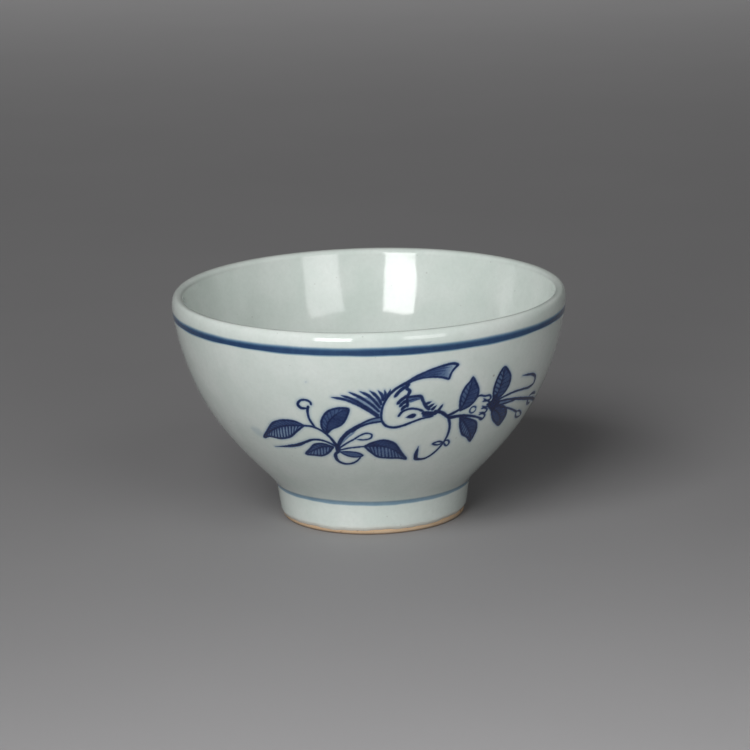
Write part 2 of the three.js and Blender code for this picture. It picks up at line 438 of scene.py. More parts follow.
skins = {
    "painted_wall": glaze_shell("painted_wall", wall_rows, painted_columns),
    "rim_band": glaze_shell("rim_band", band_rows, coarse),
    "inside_and_lip": glaze_shell("inside_and_lip", lip_rows, coarse),
    "foot_band": glaze_shell("foot_band", corner_rows, coarse),
    "foot_coat": glaze_shell("foot_coat", foot_rows, coarse, foot_sink, foot_slide),
    "base_coat": glaze_shell("base_coat", base_rows, coarse, base_sink, base_slide),
}

# %% [markdown]
# ## The painting
# A cobalt painting is strokes and washes: the brush is loaded, pressed and lifted, so a stroke swells
# and ends in a point, and a leaf is outlined, filled with a thinner wash and veined while it is wet.
# It could be curves or decals on the pot, but under a glaze it is only colour, so it is worked out
# as an amount of pigment at every point of the wall. Places are in mm round and up the wall, with
# 0 at the front, and widths are true widths on the clay.

# %% The wall as a canvas
wall_angle, wall_height, wall_radius = places(skins["painted_wall"])
turned_back = PAINT_SPAN[0] / PAINT_RADIUS
wall_angle = turned_back + (wall_angle - turned_back) % (2 * math.pi)
wall_slope = np.gradient(wall_rows[:, 0], wall_rows[:, 1])
canvas = {
    "x": wall_angle * PAINT_RADIUS,
    "z": wall_height,
    "wide": wall_radius / PAINT_RADIUS,  # true mm for one mm of the plan, round the wall
    "tall": np.hypot(1, np.interp(wall_height, wall_rows[:, 1], wall_slope)),  # and up it
    "pigment": np.zeros(len(wall_height)),
    "halo": np.zeros(len(wall_height)),
}

# %% Brush strokes
SOFT_EDGE = 0.15  # mm of bleed on each side of a stroke's edge
HALO_REACH = 0.45  # mm of faint blue in the glaze beyond it
HALO_TONE = 0.08
PATH_STEP = 0.12


def smooth_path(places_on_wall):
    """Even points along a smooth line through given ones."""
    knots = np.array(places_on_wall, float)
    gaps = np.linalg.norm(np.diff(knots, axis=0), axis=1)
    slopes = np.diff(knots, axis=0) / gaps[:, None]
    tangents = np.vstack([slopes[:1], (slopes[1:] + slopes[:-1]) / 2, slopes[-1:]])
    stretches = []
    for i, gap in enumerate(gaps):
        t = np.linspace(0, 1, max(2, round(gap / PATH_STEP)), endpoint=False)[:, None]
        start, end = knots[i], knots[i + 1]
        stretches.append(
            start * (1 + 2 * t) * (1 - t) ** 2
            + tangents[i] * gap * t * (1 - t) ** 2
            + end * t**2 * (3 - 2 * t)
            + tangents[i + 1] * gap * t**2 * (t - 1)
        )
    return np.vstack([*stretches, knots[-1:]])


def nearby(path, margin):
    """The canvas points in the box round a path."""
    low, high = path.min(axis=0) - margin, path.max(axis=0) + margin
    x, z = canvas["x"], canvas["z"]
    return np.flatnonzero((x > low[0]) & (x < high[0]) & (z > low[1]) & (z < high[1]))


def distance_inside(near, path, half_width):
    """How deep each canvas point lies inside a line of that half width, negative outside."""
    deepest = np.full(len(near), -1e3)
    x, z = canvas["x"][near], canvas["z"][near]
    wide, tall = canvas["wide"][near], canvas["tall"][near]
    for (path_x, path_z), half in zip(path, half_width):
        depth = half - np.hypot((x - path_x) * wide, (z - path_z) * tall)
        np.maximum(deepest, depth, out=deepest)
    return deepest


def lay_down(near, depth, tone):
    """Adds pigment where depth is positive, with a soft edge and a faint halo."""
    edge = np.clip(depth / (2 * SOFT_EDGE) + 0.5, 0, 1)
    amount = tone * edge * edge * (3 - 2 * edge)
    canvas["pigment"][near] = np.maximum(canvas["pigment"][near], amount)
    halo = HALO_TONE * tone * np.exp(-((np.minimum(depth, 0) / HALO_REACH) ** 2))
    canvas["halo"][near] = np.maximum(canvas["halo"][near], halo)


def stroke(points, width=0.5, tone=1.0, point_in=0.0, point_out=0.8):
    """One pull of the brush. width is in mm, or a list of widths that the pressure gives on the way.

    point_in and point_out are how many mm the brush takes to land and to lift.
    """
    path = smooth_path(points)
    gone = np.concatenate([[0], np.cumsum(np.linalg.norm(np.diff(path, axis=0), axis=1))])
    share = gone / gone[-1]
    pressures = np.atleast_1d(np.array(width, float))
    half = np.interp(share, np.linspace(0, 1, len(pressures)), pressures) / 2
    landing = np.clip(gone / max(point_in, 1e-3), 0, 1) ** 0.6
    lifting = np.clip((gone[-1] - gone) / max(point_out, 1e-3), 0, 1) ** 0.6
    shake = 1 + 0.06 * np.sin(gone * 2.1 + path[0, 0]) + 0.04 * np.sin(gone * 5.3 + path[0, 1])
    half = np.maximum(half * landing * lifting * shake, 0.03)
    near = nearby(path, half.max() + 1.5)
    lay_down(near, distance_inside(near, path, half), tone)


def wash(outline, tone, shade=None):
    """Fills a closed outline with thin pigment. shade(x, z) scales it from place to place."""
    near = nearby(outline, 0.5)
    x, z = canvas["x"][near], canvas["z"][near]
    inside_it = np.zeros(len(near), bool)
    for (x0, z0), (x1, z1) in zip(outline, np.roll(outline, -1, axis=0)):
        crosses = (z0 > z) != (z1 > z)
        with np.errstate(divide="ignore", invalid="ignore"):
            where = (x1 - x0) * (z - z0) / (z1 - z0) + x0
        inside_it ^= crosses & (x < where)
    border = -distance_inside(near, outline, np.zeros(len(outline)))
    depth = np.where(inside_it, border, -border)
    near_tone = tone if shade is None else tone * shade(x, z)
    lay_down(near, depth, near_tone)


def fill(points, tone):
    """A wash inside a smooth closed shape through given points."""
    wash(smooth_path([*points, points[0]]), tone)


def leaf(base, tip, upper, lower, rib, tones=(0.6, 0.6), gap=0.95, edge=0.55, sweep=0.12):
    """An outlined leaf with a midrib, a wash on each half, and veins from the midrib forward.

    tones are the two washes. Veins swell at both ends, which leaves slim light gaps between them.
    """
    rib_path = smooth_path([base, *rib, tip])
    span = np.linalg.norm(np.diff(rib_path, axis=0), axis=1).sum()
    for side, tone in ((upper, tones[0]), (lower, tones[1])):
        side_path = smooth_path([base, *side, tip])
        wash(np.vstack([side_path, rib_path[::-1]]), tone)
        stroke([base, *side, tip], edge, point_out=0.7)
        for share in np.arange(0.1, 0.86, gap / span):
            start = rib_path[int(share * (len(rib_path) - 1))]
            end = side_path[int(min(share + sweep, 1) * (len(side_path) - 1))]
            stroke([start, (start + end) / 2, end], [0.6, 0.36, 0.36, 0.5], tone=0.9, point_out=0)
    stroke([base, *rib, tip], [edge, edge, 0.7 * edge])


# %% The left sprig
HUB = (-9.0, 24.6)
leaf((-16.6, 30.0), (-30.6, 25.1), [(-18.5, 30.8), (-21.5, 30.9), (-25.0, 29.8), (-27.6, 27.6)],
     [(-18.6, 28.6), (-21.5, 26.6), (-24.8, 25.8), (-28.0, 25.9)],
     [(-21.5, 29.5), (-25.6, 28.1)], (0.65, 0.3))
leaf((-11.2, 28.3), (-5.0, 34.9), [(-12.0, 29.8), (-11.6, 32.0), (-9.8, 34.1), (-7.4, 34.9)],
     [(-9.6, 29.6), (-7.2, 30.8), (-5.9, 32.6)], [(-10.2, 31.2), (-8.0, 33.4)], (0.6, 0.8))
leaf((-10.2, 24.7), (-18.9, 22.1), [(-12.4, 25.4), (-14.8, 25.2), (-16.8, 23.7)],
     [(-11.6, 23.3), (-13.6, 22.2), (-16.4, 22.1)], [(-12.6, 24.7), (-15.6, 23.6)], (0.7, 0.4))
leaf((-2.0, 25.0), (9.5, 20.8), [(0.2, 26.0), (3.0, 26.5), (5.6, 25.5), (7.4, 23.2)],
     [(-0.6, 23.6), (1.4, 22.1), (4.4, 21.6), (7.8, 21.3)], [(2.0, 25.0), (5.6, 23.8)], (0.8, 0.42))
stroke([(-16.6, 30.0), (-14.5, 29.9), (-12.2, 28.9), (-10.4, 27.2), HUB],
       [0.5, 0.5, 0.55, 0.7], point_out=0)
stroke([(-11.2, 28.5), (-10.8, 27.7)], 0.6)
stroke([(-13.9, 29.9), (-14.8, 32.0), (-14.8, 34.0), (-14.4, 35.2)], [0.5, 0.5, 0.6], point_out=0.3)
stroke([(-14.9, 34.5), (-16.4, 34.6), (-16.9, 35.4), (-16.1, 36.4), (-14.8, 36.6), (-13.8, 36.1),
        (-13.7, 35.4)],
       [0.4, 0.7, 0.6, 0.5, 0.5, 0.55], point_out=0.3)
stroke([HUB, (-10.6, 25.6), (-12.8, 26.4), (-15.2, 26.4), (-17.4, 25.6), (-19.6, 24.7), (-23.0, 23.9),
        (-28.0, 23.1)],
       [0.5, 0.5, 0.55, 0.6, 0.85, 0.8, 0.5, 0.3], point_out=5)
stroke([(-8.4, 24.6), (-6.2, 26.0), (-4.2, 27.1)], 0.4)
stroke([(-4.4, 27.0), (-3.0, 27.9), (-1.4, 28.5), (-0.1, 28.1), (-0.3, 27.3), (-1.8, 26.8),
        (-3.8, 26.9)], 0.38)
stroke([(-8.6, 23.9), (-6.2, 24.5), (-4.0, 24.8), (-1.8, 25.0)], 0.42, point_out=0)
stroke([(-9.0, 23.6), (-10.0, 22.6), (-9.9, 21.1), (-8.6, 20.2), (-6.4, 20.1), (-4.4, 20.9), (-3.0, 22.3)],
       [0.7, 0.75, 0.7, 0.55, 0.5, 0.4, 0.35], point_out=0.6)
bud = [(-8.7, 23.4), (-6.0, 23.5), (-3.6, 23.1), (-2.7, 22.5), (-4.0, 22.1), (-6.4, 22.3)]
fill(bud, 0.6)
stroke([*bud, bud[0]], 0.45)
stroke([(-9.4, 25.8), HUB, (-9.1, 23.0)], [0.7, 1.2, 0.8], point_in=0.4)

# %% The branch between the hub and the bird
stroke([HUB, (-7.6, 26.9), (-5.2, 29.2), (-2.4, 31.0), (0.2, 32.2), (2.0, 32.5)],
       [0.8, 0.9, 0.95, 0.55, 0.45, 0.4], point_out=0.2)
stroke([(-5.0, 29.0), (-2.6, 30.4), (0.0, 31.2), (2.4, 31.5)], [0.9, 0.6, 0.5, 0.5], point_out=0.2)
fill([(-4.0, 29.9), (-1.4, 31.5), (1.8, 32.3), (2.2, 31.6), (-0.6, 31.0)], 0.4)
stroke([(-8.2, 25.4), (-6.4, 27.2), (-4.0, 29.0)], [0.5, 0.6, 0.4], tone=0.3)

# %% The bird: wing feathers
FEATHERS = [
    [(-8.8, 37.6), (-5.6, 37.0), (-2.0, 35.2), (1.8, 32.4)],
    [(-6.6, 38.1), (-4.2, 37.2), (-1.2, 35.2), (1.6, 33.0)],
    [(-4.8, 38.9), (-2.4, 37.6), (0.0, 35.8), (1.8, 33.9)],
    [(-2.5, 39.1), (-0.6, 38.0), (0.9, 36.4), (2.0, 34.8)],
    [(-0.3, 39.2), (1.0, 38.0), (1.9, 36.6), (2.2, 35.6)],
    [(1.5, 39.2), (2.3, 38.1), (2.6, 36.6)],
    [(2.9, 39.3), (3.1, 38.2), (2.9, 37.0)],
    [(4.2, 39.4), (3.9, 38.4), (3.3, 37.5)],
]
fill([(-6.0, 37.4), (-2.4, 37.6), (1.4, 37.2), (2.6, 36.2), (2.2, 33.2), (-1.0, 35.0)], 0.25)
for feather in FEATHERS:
    stroke(feather, [0.5, 0.7, 0.7, 0.6], tone=0.95, point_in=1.2, point_out=0.2)

# %% The bird: body, beak and eye
stroke([(7.4, 40.6), (5.2, 39.3), (3.8, 37.8), (2.7, 35.8), (2.2, 33.6), (2.3, 31.8), (3.2, 30.4),
        (5.0, 29.8),
        (7.2, 30.1), (9.6, 30.9), (11.6, 31.5), (14.6, 31.9)],
       [0.7, 0.6, 0.5, 0.5, 0.5, 0.6, 0.6, 0.55, 0.45, 0.5])
stroke([(6.1, 32.5), (7.0, 33.7), (8.8, 34.3), (10.6, 34.0), (12.2, 33.2)],
       [0.5, 0.55, 0.5, 0.5, 0.6], point_in=0.3)
pupil = [(7.9, 32.2), (8.8, 32.8), (9.8, 33.0), (10.3, 32.6), (9.8, 32.0), (8.8, 31.9)]
fill(pupil, 1.0)
stroke([(11.6, 33.0), (13.4, 32.6), (15.2, 32.6)], [1.0, 1.3, 1.0], point_in=0.6, point_out=0.3)
stroke([(12.0, 32.2), (14.6, 32.0)], [0.6, 0.5], tone=0.8)

# %% The bird: shoulder and covert marks
for start, end in [((7.4, 39.8), (5.1, 37.4)), ((8.0, 37.6), (5.7, 35.6)), ((7.9, 36.4), (6.3, 34.9)),
                   ((8.0, 35.2), (6.7, 34.0))]:
    middle = ((start[0] + end[0]) / 2 - 0.15, (start[1] + end[1]) / 2 + 0.1)
    stroke([start, middle, end], [0.75, 0.8, 0.7], point_in=0.3, point_out=0.5)
stroke([(8.0, 40.4), (7.7, 39.5), (8.4, 38.7), (8.0, 37.4), (8.0, 36.0), (8.2, 34.6)],
       [0.9, 0.8, 0.65, 0.7, 0.6])
stroke([(8.0, 37.2), (9.8, 37.3), (11.0, 37.1), (11.6, 36.0), (12.4, 34.6), (13.4, 33.6)],
       [0.5, 0.65, 0.75, 0.7, 0.75, 0.8], point_out=0.3)
fill([(8.0, 37.1), (10.0, 37.2), (11.2, 36.7), (10.0, 36.2), (8.4, 35.9)], 0.5)
stroke([(8.3, 36.3), (9.6, 36.6), (11.0, 36.5)], 0.45, tone=0.85)
for start, end in [((12.2, 35.1), (13.6, 35.6)), ((13.0, 34.2), (14.3, 35.0)), ((14.0, 33.6), (14.9, 34.5)),
                   ((15.6, 33.2), (16.5, 34.6))]:
    stroke([start, end], [0.75, 0.5], point_out=0.7)

# %% The bird: tail
TAIL_TOP = [(7.2, 40.4), (9.6, 41.9), (12.6, 43.2), (15.8, 44.0), (18.0, 44.2), (19.1, 43.8)]
TAIL_END = [(19.1, 43.8), (18.1, 42.8), (17.5, 41.8), (17.2, 40.6)]
TAIL_UNDER = [(17.2, 40.6), (15.8, 41.2), (13.6, 41.6), (11.2, 41.6), (9.2, 41.2), (7.8, 40.5)]
wash(np.vstack([smooth_path(TAIL_TOP), smooth_path(TAIL_END), smooth_path(TAIL_UNDER)]),
     0.7, shade=lambda x, z: np.clip((19.5 - x) / 6, 0.25, 1))
stroke(TAIL_TOP, [0.7, 0.7, 0.5, 0.5, 0.6, 0.6], point_out=0.2)
stroke(TAIL_END, [0.6, 0.5, 0.5, 0.5], point_out=0.3)
stroke(TAIL_UNDER, [0.5, 0.5, 0.45, 0.5, 0.6], point_out=0.2)
for rise in (0.25, 0.5, 0.75):
    line = [(a[0] + (b[0] - a[0]) * rise, a[1] + (b[1] - a[1]) * rise)
            for a, b in zip(TAIL_UNDER[-1:0:-1], TAIL_TOP)]
    stroke(line, [0.7, 0.5, 0.36, 0.3], tone=0.8, point_out=1.5)

# %% The right sprig: branch and tendrils
stroke([(14.8, 33.0), (16.4, 32.6), (17.8, 31.6), (18.8, 30.8)], [0.9, 0.8, 0.7], point_out=0)
stroke([(18.6, 30.9), (21.0, 31.0), (23.6, 30.7), (26.0, 30.1), (28.8, 29.0)],
       [0.9, 0.8, 0.7, 0.5, 0.45], point_out=0.4)
stroke([(18.2, 31.5), (19.6, 32.0), (21.2, 32.7)], [0.6, 0.7, 0.6], point_out=0)
stroke([(18.7, 30.7), (19.4, 28.9), (19.6, 26.8), (19.2, 24.9), (18.3, 23.2), (16.8, 21.6), (14.9, 20.6),
        (13.0, 20.5)],
       [0.6, 0.55, 0.5, 0.5, 0.5, 0.5, 0.55, 0.7], point_out=0)
stroke([(13.2, 20.5), (12.2, 20.8), (11.9, 21.8), (12.1, 24.2)], [0.7, 0.95, 0.9, 0.5], point_out=2.2)
stroke([(19.0, 24.4), (17.6, 24.9), (16.0, 24.5), (17.4, 24.0), (19.0, 24.4)], 0.45)
stroke([(19.1, 24.8), (20.1, 24.9), (20.8, 24.1), (20.4, 23.4), (19.6, 23.8), (19.1, 24.6)], 0.4)
stroke([(31.6, 33.0), (34.0, 33.5), (37.0, 33.9), (41.0, 33.8), (44.4, 33.6), (46.2, 34.1), (45.8, 35.6),
        (43.8, 36.7), (41.4, 37.2), (39.0, 37.5)],
       [0.6, 0.5, 0.5, 0.5, 0.5, 0.65, 0.65, 0.6, 0.45, 0.3], point_out=2)
stroke([(31.8, 32.6), (35.0, 32.5), (38.6, 32.0), (42.0, 31.3), (46.0, 30.4), (50.0, 29.5), (54.0, 28.3),
        (58.0, 27.3), (63.0, 26.8), (68.0, 27.0)],
       [0.6, 0.5, 0.7, 0.8, 0.8, 0.75, 0.7, 0.65, 0.6, 0.4], point_out=3)
stroke([(32.2, 31.6), (35.6, 31.6), (39.4, 31.6)], [0.6, 0.45, 0.4])
fill([(33.0, 32.4), (37.0, 32.2), (39.6, 31.7), (36.0, 31.7), (33.0, 31.8)], 0.4)
stroke([(34.0, 30.8), (37.0, 30.1), (40.0, 29.0), (42.8, 27.9)], 0.4, point_out=0)
stroke([(42.8, 27.9), (44.2, 27.8), (46.0, 27.1), (47.6, 26.0), (45.6, 25.9), (43.8, 26.6),
        (42.8, 27.9)], 0.38)
stroke([(46.6, 30.9), (48.8, 31.1), (51.2, 30.4)], [0.4, 0.7, 0.5], tone=0.8, point_in=0.5)
stroke([(46.8, 29.8), (48.2, 28.7), (50.4, 28.2)], [0.5, 0.7, 0.5], tone=0.8, point_in=0.5)

# %% The right sprig: leaves and blossom
leaf((21.3, 32.4), (23.1, 40.4), [(20.9, 34.2), (20.9, 36.4), (21.8, 38.4), (22.7, 39.4)],
     [(23.6, 33.2), (25.1, 34.8), (25.2, 36.8), (24.2, 38.6)], [(22.2, 34.8), (22.8, 37.6)], (0.5, 0.7))
leaf((21.8, 30.6), (28.0, 23.2), [(24.8, 29.6), (27.2, 28.3), (28.1, 26.2)],
     [(22.6, 28.2), (24.0, 26.0), (26.4, 24.6)], [(24.4, 28.0), (26.6, 25.6)], (0.7, 0.5))
leaf((30.9, 33.2), (31.7, 41.3), [(30.0, 35.0), (29.9, 37.4), (30.7, 39.9)],
     [(33.2, 34.2), (34.5, 36.2), (34.3, 38.4), (32.8, 40.3)], [(31.6, 35.8), (31.9, 38.8)], (0.4, 0.65))
leaf((31.0, 31.2), (37.2, 25.6), [(34.0, 31.2), (36.6, 29.9), (37.8, 27.8)],
     [(31.9, 29.4), (33.4, 27.8), (35.6, 26.4)], [(33.8, 29.6), (36.0, 27.6)], (0.7, 0.75))
PETALS = [
    [(24.4, 34.4), (25.8, 35.3), (27.6, 34.9), (29.0, 34.8), (29.5, 34.0), (28.6, 33.6), (27.2, 34.4)],
    [(27.2, 33.7), (28.8, 33.5), (29.5, 32.9), (29.3, 32.1), (28.2, 32.1), (27.4, 32.5)],
    [(27.4, 31.9), (28.8, 31.7), (29.4, 31.2), (29.1, 30.6), (28.0, 30.7), (27.2, 30.9)],
    [(27.2, 30.4), (28.8, 30.3), (29.3, 29.7), (28.8, 28.9), (27.6, 29.2)],
]
for petal in PETALS:
    stroke(petal, [0.45, 0.5, 0.45, 0.5, 0.4], tone=0.9, point_in=0.4)
ring_angles = np.linspace(0.4, 2 * math.pi + 0.3, 12)
stroke([(24.9 + 0.85 * math.cos(a), 32.0 + 0.8 * math.sin(a)) for a in ring_angles], 0.36, tone=0.8)
stroke([(29.8, 32.2), (31.0, 32.4), (32.6, 32.0)], [1.6, 3.0, 1.8], point_in=0.5, point_out=0.8)
stroke([(30.9, 34.8), (31.0, 33.4), (31.2, 31.8), (31.8, 30.4)],
       [0.9, 2.0, 2.2, 1.0], point_in=0.8, point_out=0.8)
stroke([(-14.2, 41.0), (-14.0, 41.1)], 0.32, tone=0.3)
for width, tone in ((3.4, 0.012), (2.8, 0.024), (2.2, 0.036), (1.6, 0.046)):
    stroke([(-33.6, 27.2), (-31.5, 26.4), (-29.4, 25.9)], [0.7 * width, width, 0.5 * width], tone, 1.5, 1.5)
stroke([(28.9, 32.6), (30.6, 32.4)], 0.6)

pigment = np.maximum(canvas["pigment"], canvas["halo"])
print(f"painting: pigment on {np.mean(pigment > 0.3):.1%} of the wall's points, most {pigment.max():.2f}")

# %% [markdown]
# ## The two bands
# A band is painted in one turn of the wheel with the brush held still, so its edges are soft and
# wander a little, and it is darker where the brush was freshly loaded. The rim band is softest above,
# where the glaze ran down from the lip. Its blue also bleeds into the glaze beside it, so the amount
# is stored on the neighbours too.

# %% How much blue the bands leave
BAND_BLEED = 0.2  # half the width in mm over which an edge fades
RIM_DRAINED = 0.6  # the same for the rim band's upper edge, which melting glaze has smeared
CONTACT_SHADOW_REACH = 0.55  # mm over which painted contact shadow darkens the foot's outer edge, where the cup stands
RIM_TONE = 0.98
RIM_SHARE = 0.92  # how much of the band's width in the frame the full blue takes up
FOOT_SHARE = 0.85
FOOT_TONE = 0.3


def band_amount(distance, half_width, angle, tone, bleed_above=BAND_BLEED):
    """Pigment at a distance above the middle of a band, in mm."""
    wander = 0.05 * np.sin(3 * angle + 1) + 0.035 * np.sin(11 * angle) + 0.02 * np.sin(29 * angle + 2)
    reach = half_width + wander
    above = np.clip((reach - distance) / (2 * bleed_above) + 0.5, 0, 1)
    below = np.clip((reach + distance) / (2 * BAND_BLEED) + 0.5, 0, 1)
    edge = above * below
    loaded = 1 + 0.1 * np.sin(angle + 2) + 0.04 * np.sin(6 * angle)
    return tone * loaded * edge * edge * (3 - 2 * edge)


rim_middle = sum(rim_band) / 2
rim_half = (rim_band[1] - rim_band[0]) / 2
for name, piece in skins.items():
    angle, height, radius = places(piece)
    outside = radius > CREST_RADIUS
    rim_blue = outside * band_amount(height - rim_middle, RIM_SHARE * rim_half, angle, RIM_TONE, RIM_DRAINED)
    from_corner = np.hypot(radius - FOOT_TOP[0], height - FOOT_TOP[1])
    foot_blue = band_amount(from_corner, FOOT_SHARE * FOOT_BAND_WIDTH / 2, angle, FOOT_TONE)
    keep_on_points(piece, "band", np.maximum(rim_blue, foot_blue))
    keep_on_points(piece, "painting", pigment if name == "painted_wall" else 0 * height)
    near_crest = 1 - np.hypot(radius - CREST_RADIUS, height - crest) / 1.3
    wiped = foot_edge + ragged(angle)
    near_wipe = (1 - (height - wiped) / 1.5) * (radius < FOOT_TOP[0])
    keep_on_points(piece, "thin", np.clip(np.maximum(0.12 * near_crest, near_wipe), 0, 1) ** 1.5)

for piece in (foot_ring, bowl):
    angle, height, radius = places(piece)
    keep_on_points(piece, "toast", np.clip(height / (foot_edge + ragged(angle)), 0, 1))
    # painted contact shadow: a mask that is strongest at the outer edge on which the cup stands
    from_edge = np.hypot(radius - outer_bottom[0], height)
    keep_on_points(piece, "contact_shadow", np.exp(-((from_edge / CONTACT_SHADOW_REACH) ** 2)))

# %% [markdown]
# ## Finishes
# Each effect that more than one finish uses is a group of shader nodes with named inputs. A group
# gives colours, masks and heights, and the finish itself keeps the surface shader.


# %% A small helper for node trees
def linked(tree, kind, settings=None, **inputs):
    """Adds a node. settings are its own values, and inputs are numbers, colours or other outputs."""
    node = tree.nodes.new(kind)
    for key, value in (settings or {}).items():
        setattr(node, key, value)
    for key, value in inputs.items():
        socket = node.inputs[int(key[1:])] if key[1:].isdigit() else node.inputs[key.replace("_", " ")]
        if isinstance(value, bpy.types.NodeSocket):
            tree.links.new(value, socket)
        else:
            socket.default_value = value
    return node


def new_group(name, inputs, outputs):
    group = bpy.data.node_groups.new(name, "ShaderNodeTree")
    for label, kind, default in inputs:
        socket = group.interface.new_socket(label, in_out="INPUT", socket_type=kind)
        socket.default_value = default
    for label, kind in outputs:
        group.interface.new_socket(label, in_out="OUTPUT", socket_type=kind)
    return group, group.nodes.new("NodeGroupInput").outputs, group.nodes.new("NodeGroupOutput").inputs


def maths(tree, operation, *values):
    inputs = {f"i{number}": value for number, value in enumerate(values)}
    return linked(tree, "ShaderNodeMath", {"operation": operation}, **inputs).outputs[0]


def spread(tree, value, low, high, to_low=0.0, to_high=1.0):
    """Stretches a value from one range to another and clamps it."""
    node = linked(tree, "ShaderNodeMapRange", i0=value, i1=low, i2=high, i3=to_low, i4=to_high)
    return node.outputs[0]


def mixed(tree, amount, first, second):
    node = tree.nodes.new("ShaderNodeMix")
    node.data_type = "RGBA"
    for place, value in ((0, amount), (6, first), (7, second)):
        if isinstance(value, bpy.types.NodeSocket):
            tree.links.new(value, node.inputs[place])
        else:
            node.inputs[place].default_value = value
    return node.outputs[2]


def noise(tree, place, features_mm, detail=2.0, roughness=0.5):
    """Noise with features of about this many mm."""
    node = linked(tree, "ShaderNodeTexNoise", Vector=place, Scale=1 / (features_mm * MM), Detail=detail)
    node.inputs["Roughness"].default_value = roughness
    return node.outputs["Fac"]


# %% Group: pigment seen through glaze
group, given, out = new_group(
    "Pigment under glaze",
    [("Glaze", "NodeSocketColor", (0.6, 0.64, 0.61, 1)),
     ("Pigment", "NodeSocketColor", (0.02, 0.03, 0.2, 1)),
     ("Amount", "NodeSocketFloat", 0.0)],
    [("Color", "NodeSocketColor")],
)
# Light that crosses twice the pigment loses its share twice, so each channel is raised to the amount.
parts = group.nodes.new("ShaderNodeSeparateColor")
group.links.new(given["Pigment"], parts.inputs[0])
powers = [maths(group, "POWER", parts.outputs[channel], given["Amount"]) for channel in range(3)]
whole = linked(group, "ShaderNodeCombineColor", i0=powers[0], i1=powers[1], i2=powers[2])
product = group.nodes.new("ShaderNodeMix")
product.data_type = "RGBA"
product.blend_type = "MULTIPLY"
product.inputs[0].default_value = 1
group.links.new(given["Glaze"], product.inputs[6])
group.links.new(whole.outputs[0], product.inputs[7])
group.links.new(product.outputs[2], out["Color"])
pigment_under_glaze = group

# %% Group: grain of the brushed pigment
group, given, out = new_group(
    "Brush grain", [("Amount", "NodeSocketFloat", 0.0), ("Unevenness", "NodeSocketFloat", 0.3)],
    [("Amount", "NodeSocketFloat")],
)
place = group.nodes.new("ShaderNodeTexCoord").outputs["Object"]
fine, broad = noise(group, place, 0.35), noise(group, place, 2.2)
both = maths(group, "ADD", fine, broad)
swing = maths(group, "MULTIPLY", maths(group, "SUBTRACT", both, 1.0), given["Unevenness"])
group.links.new(maths(group, "MULTIPLY", given["Amount"], maths(group, "ADD", swing, 1.0)), out["Amount"])
brush_grain = group

# %% Group: freckles
group, given, out = new_group(
    "Freckles",
    [("Spacing", "NodeSocketFloat", 5.0), ("Size", "NodeSocketFloat", 0.2),
     ("Share", "NodeSocketFloat", 0.3)],
    [("Mask", "NodeSocketFloat")],
)
place = group.nodes.new("ShaderNodeTexCoord").outputs["Object"]
scale = maths(group, "DIVIDE", 1 / MM, given["Spacing"])
cells = linked(group, "ShaderNodeTexVoronoi", Vector=place, Scale=scale)
reach = maths(group, "MULTIPLY", cells.outputs["Distance"], given["Spacing"])
lot = group.nodes.new("ShaderNodeSeparateColor")
group.links.new(cells.outputs["Color"], lot.inputs[0])
size = maths(group, "MULTIPLY", given["Size"], maths(group, "ADD", lot.outputs[1], 0.4))
inside_dot = spread(group, maths(group, "DIVIDE", reach, size), 1.0, 0.6)
chosen = maths(group, "LESS_THAN", lot.outputs[0], given["Share"])
group.links.new(maths(group, "MULTIPLY", inside_dot, chosen), out["Mask"])
freckles = group

# %% Group: the skin of the glaze
group, given, out = new_group(
    "Glaze skin", [("Ripple", "NodeSocketFloat", 1.0)],
    [("Height", "NodeSocketFloat"), ("Cloud", "NodeSocketFloat"), ("Curdle", "NodeSocketFloat"),
     ("Roughness", "NodeSocketFloat")],
)
place = group.nodes.new("ShaderNodeTexCoord").outputs["Object"]
pits = linked(group, "ShaderNodeGroup", {"node_tree": freckles}, Spacing=4.5, Size=0.16, Share=0.35)
peel = maths(group, "MULTIPLY", noise(group, place, 1.6), 0.6)
flow = maths(group, "MULTIPLY", noise(group, place, 8.0), 6.0)
ripples = maths(group, "MULTIPLY", maths(group, "ADD", peel, flow), given["Ripple"])
group.links.new(maths(group, "SUBTRACT", ripples, pits.outputs[0]), out["Height"])
group.links.new(spread(group, noise(group, place, 9.0, 3.0), 0.3, 0.7), out["Cloud"])
group.links.new(spread(group, noise(group, place, 0.9, 4.0, 0.65), 0.4, 0.75), out["Curdle"])
group.links.new(spread(group, noise(group, place, 3.0, 3.0), 0.3, 0.7, 0.06, 0.11), out["Roughness"])
glaze_skin = group

# %% [markdown]
# ### The glaze and its blues
# The glaze is pale grey with a breath of green, because it holds a little iron. It is thinner and
# warmer where it runs off an edge. It carries a few iron specks and pinholes, and its surface has the
# faint ripple of glass that once flowed. The three glazed finishes share one build.

# %% Glaze finishes
GLAZE_PALE = (0.63, 0.676, 0.645, 1)
GLAZE_COOL = (0.555, 0.62, 0.58, 1)
GLAZE_THIN = (0.64, 0.60, 0.53, 1)
GLAZE_MILKY = (0.40, 0.44, 0.405, 1)
SPECK_GREY = (0.22, 0.21, 0.19, 1)
RUST = (0.20, 0.11, 0.05, 1)
PAINT_BLUE = (0.010, 0.026, 0.122, 1)
BAND_BLUE = (0.029, 0.085, 0.22, 1)


